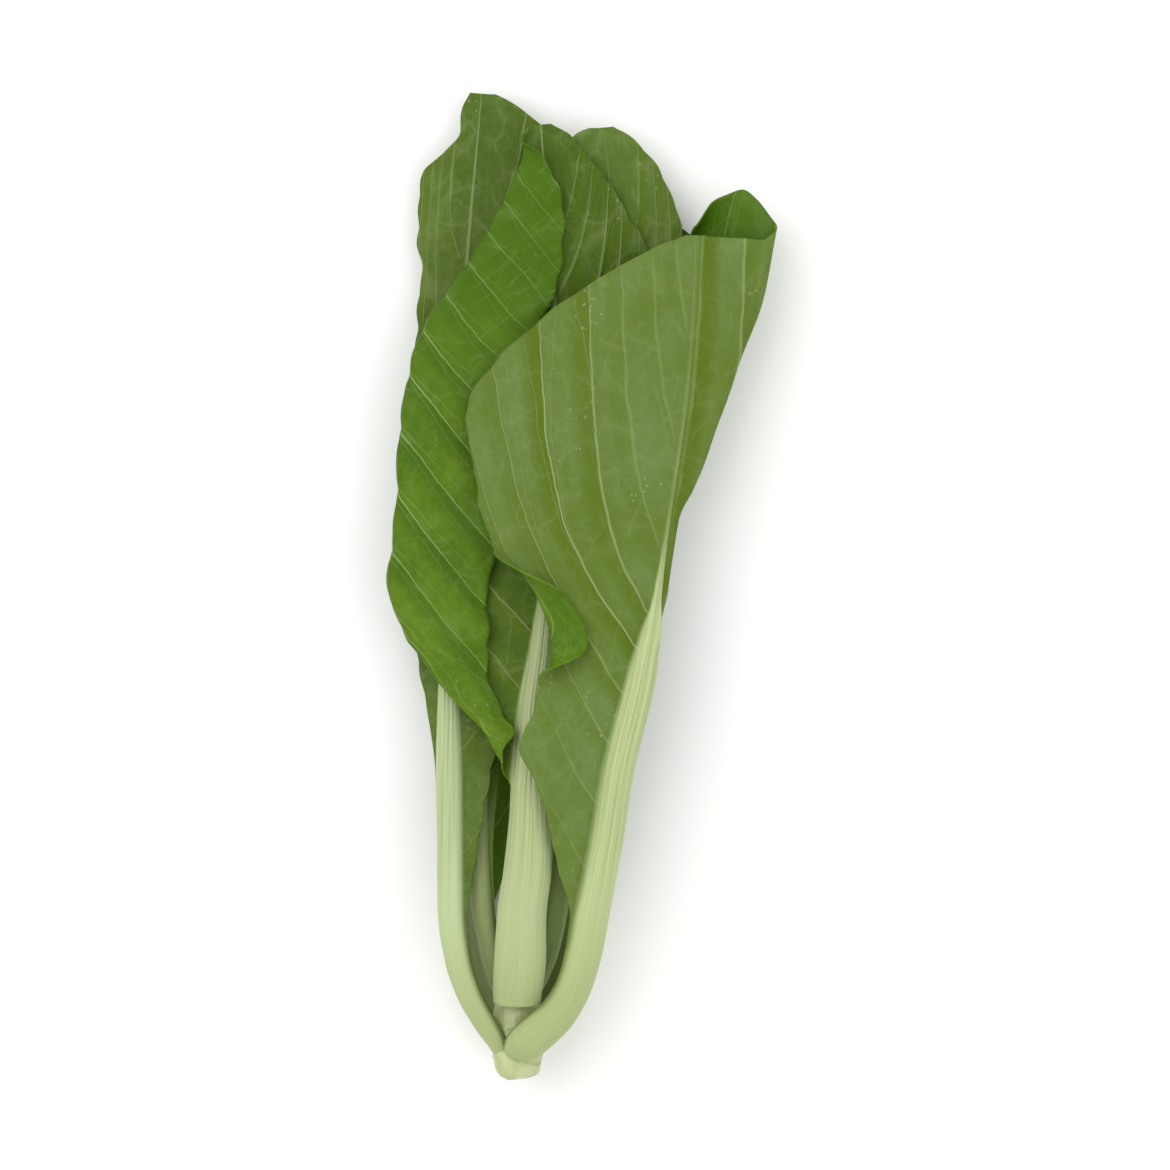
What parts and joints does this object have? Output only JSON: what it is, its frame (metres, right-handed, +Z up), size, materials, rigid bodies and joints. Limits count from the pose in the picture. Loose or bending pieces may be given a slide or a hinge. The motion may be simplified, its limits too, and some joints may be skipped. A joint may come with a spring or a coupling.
{
  "type": "mustard greens",
  "caption": "Head of mustard greens cut whole and laid on its side: leaves on pale ribbed stalks round a short stem, some folded over.",
  "frame": {"origin": "middle of the head's bounding box in X and Y, on the surface it lies on", "axes": "+Y from the cut stem towards the leaf tips, +Z up, +X to the right seen from above with the tips ahead"},
  "size_m": [0.116, 0.2992, 0.0502],
  "materials": {
    "stem": "moist pale green stem tissue",
    "leaf": "matt veined leaf, paler and ribbed on the stalk"
  },
  "bodies": {
    "root": {"cut_stem": "stem", "outer_leaf_right": "leaf", "outer_leaf_front": "leaf", "outer_leaf_left": "leaf", "inner_leaf_right": "leaf", "inner_leaf_left": "leaf", "heart_leaf_large": "leaf", "heart_leaf_small": "leaf", "under_leaf_right": "leaf", "under_leaf_left": "leaf"}
  },
  "joints": []
}
